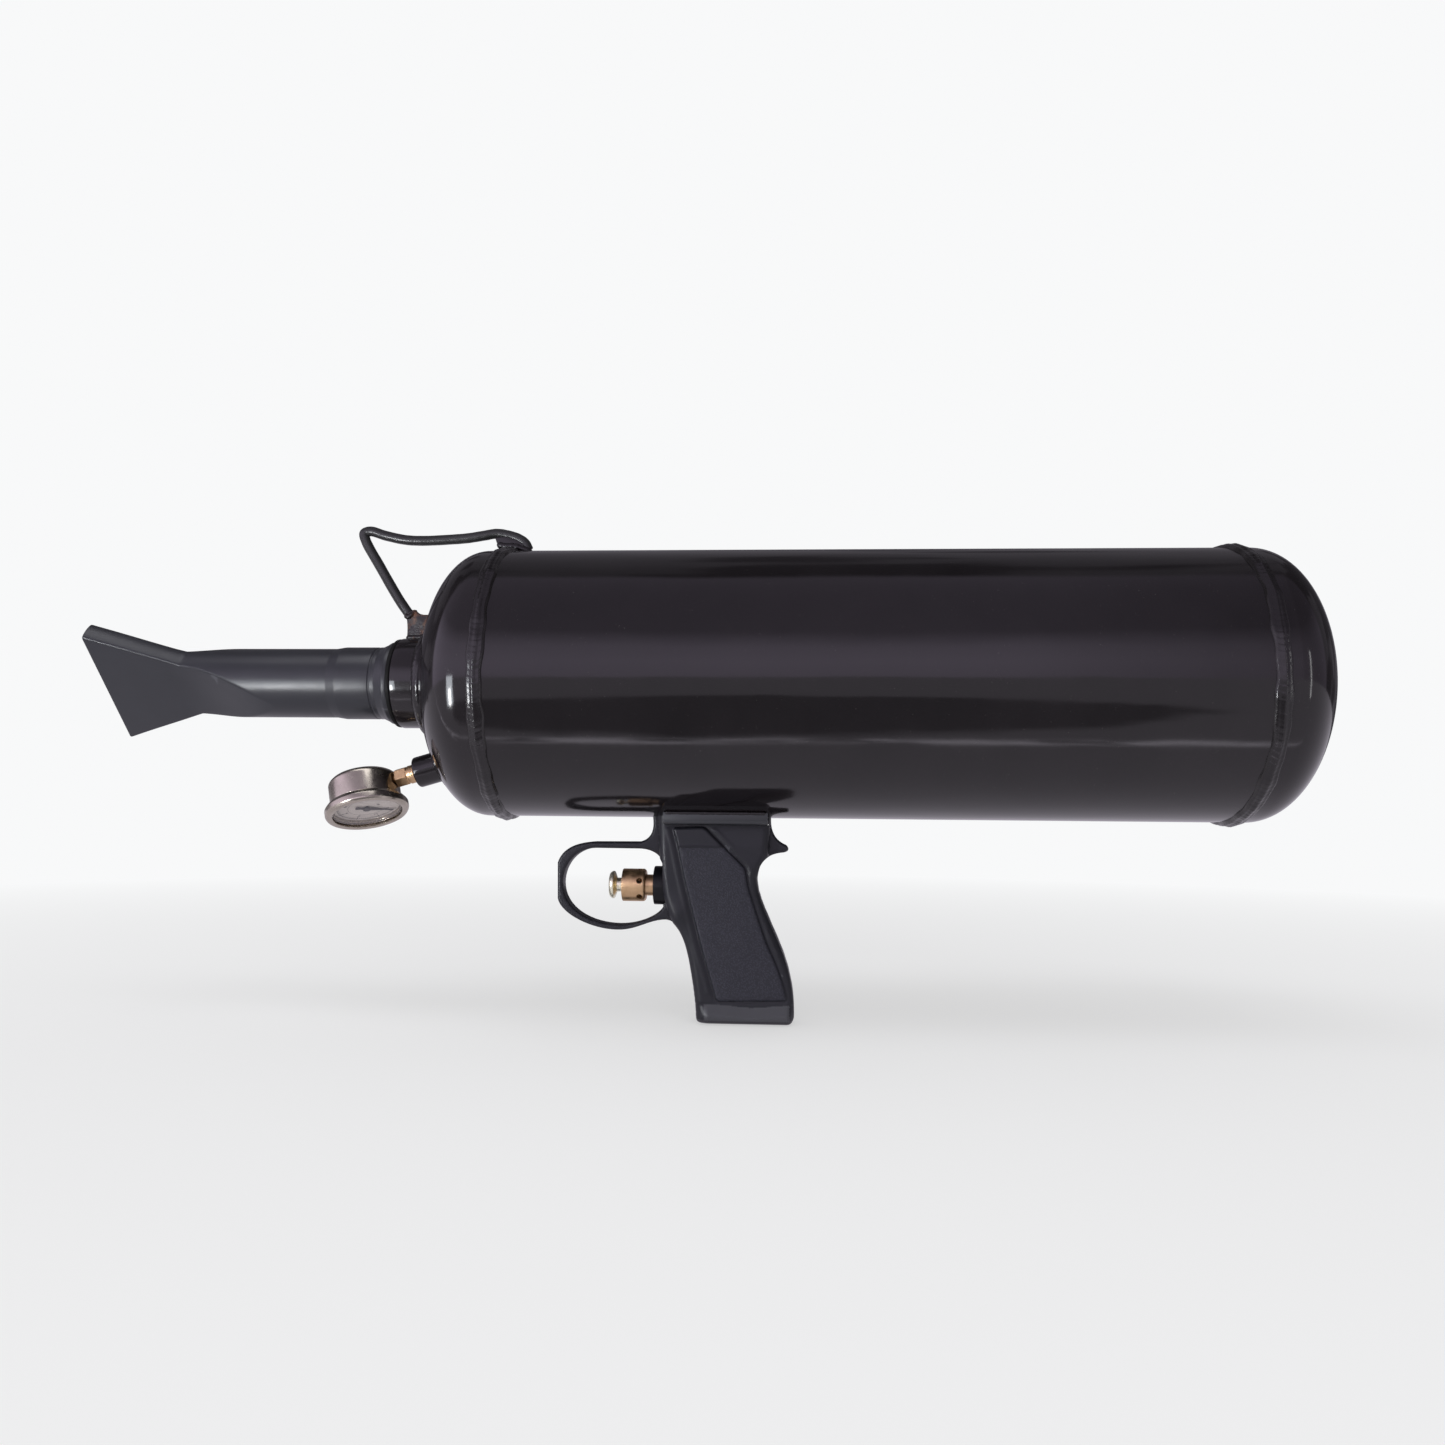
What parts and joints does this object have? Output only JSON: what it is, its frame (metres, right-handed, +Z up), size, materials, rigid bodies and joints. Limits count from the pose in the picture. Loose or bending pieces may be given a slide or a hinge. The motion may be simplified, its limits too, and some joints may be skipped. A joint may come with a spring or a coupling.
{
  "type": "bead seater blaster tank",
  "caption": "Hand-held compressed-air tank with quick-release valve, fan nozzle, carrying handle, pistol grip with push-button trigger, pressure gauge, fill valve and relief valve.",
  "frame": {"origin": "at the middle of the grip's flat base, the mount grip_base; the tank's axis is 188.4 mm above it and the middle between the two seam welds is 63.25 mm behind it", "axes": "+X along the tank's axis from the nozzle to the rear head, +Z up from the grip to the carrying handle, +Y to the side that carries the fill valve"},
  "size_m": [0.689, 0.2242, 0.2816],
  "materials": {
    "black_gloss": "gloss",
    "satin_black": "satin, finely textured",
    "black_steel": "satin",
    "brass": "machined",
    "chrome": "polished",
    "steel": "zinc plated",
    "aluminium": "machined",
    "rubber": "matt",
    "nylon": "smooth",
    "ptfe": "smooth",
    "dial": "matt print",
    "pointer": "matt",
    "glass": "clear",
    "red_vinyl": "dipped vinyl"
  },
  "bodies": {
    "frame": {"tank_shell": "black_gloss", "front_head": "black_gloss", "rear_head": "black_gloss", "front_seam_weld": "black_gloss", "rear_seam_weld": "black_gloss", "outlet_neck": "black_gloss", "neck_weld": "black_gloss", "front_handle": "black_gloss", "gauge_boss": "black_gloss", "fill_boss": "black_gloss", "relief_boss": "black_gloss", "nozzle_barrel": "satin_black", "grip_near": "satin_black", "grip_far": "satin_black", "grip_bracket": "black_steel", "pilot_boss": "black_steel", "trigger_socket": "black_steel", "gauge_socket": "brass", "gauge_bourdon_tube": "brass", "gauge_movement": "brass", "trigger_body": "brass", "valve_pilot_fitting": "brass", "fill_valve_body": "brass", "fill_valve_end": "brass", "relief_body": "brass", "relief_cap": "brass", "gauge_case": "chrome", "gauge_bezel": "chrome", "valve_spring": "steel", "trigger_spring": "steel", "relief_spring": "steel", "valve_retaining_ring": "steel", "grip_screw_top": "steel", "grip_screw_middle": "steel", "grip_screw_lower": "steel", "fill_plug": "steel", "valve_housing": "aluminium", "valve_cap": "aluminium", "barrel_seal": "rubber", "pilot_hose": "rubber", "pilot_tube": "nylon", "fill_valve_inner_seat": "ptfe", "fill_valve_outer_seat": "ptfe", "gauge_dial": "dial", "gauge_lens": "glass"},
    "piston": {"valve_piston": "aluminium", "piston_ring": "rubber", "valve_pad": "rubber"},
    "trigger_button_body": {"trigger_button": "brass", "trigger_seal": "rubber"},
    "gauge_needle_body": {"gauge_needle": "pointer"},
    "fill_lever_body": {"fill_valve_ball": "chrome", "fill_valve_stem": "brass", "fill_valve_lever": "steel", "fill_valve_lever_sleeve": "red_vinyl", "fill_valve_nut": "steel"},
    "relief_stem_body": {"relief_stem": "steel"},
    "relief_ring_body": {"relief_ring": "steel"}
  },
  "joints": [
    {"name": "piston_slide", "type": "slide", "parent": "frame", "child": "piston", "axis": [1, 0, 0], "range_m": [0, 0.014], "stiffness_N_per_m": 600, "springref_m": -0.012, "deforming": ["valve_spring"]},
    {"name": "trigger_press", "type": "slide", "parent": "frame", "child": "trigger_button_body", "axis": [1, 0, 0], "range_m": [0, 0.003], "stiffness_N_per_m": 800, "springref_m": -0.002, "deforming": ["trigger_spring"]},
    {"name": "gauge_needle_turn", "type": "hinge", "parent": "frame", "child": "gauge_needle_body", "pos_m": [-0.22175, 0, 0.1275], "axis": [-0.2701, 0.309, 0.9119], "range_deg": [0, 270]},
    {"name": "fill_lever_turn", "type": "hinge", "parent": "frame", "child": "fill_lever_body", "pos_m": [0.15825, 0.098, 0.1884], "axis": [0, 0, 1], "range_deg": [0, 90]},
    {"name": "relief_pull", "type": "slide", "parent": "frame", "child": "relief_stem_body", "axis": [0, 1, 0], "range_m": [0, 0.0025], "stiffness_N_per_m": 800, "springref_m": -0.008, "deforming": ["relief_spring"]},
    {"name": "relief_ring_swing", "type": "hinge", "parent": "relief_stem_body", "child": "relief_ring_body", "pos_m": [0.09825, 0.109, 0.1884], "axis": [0, 0, 1], "range_deg": [-75, 75]}
  ],
  "couplings": [
    {"joint": "trigger_press", "follows": "piston_slide", "ratio": 0.21429}
  ]
}
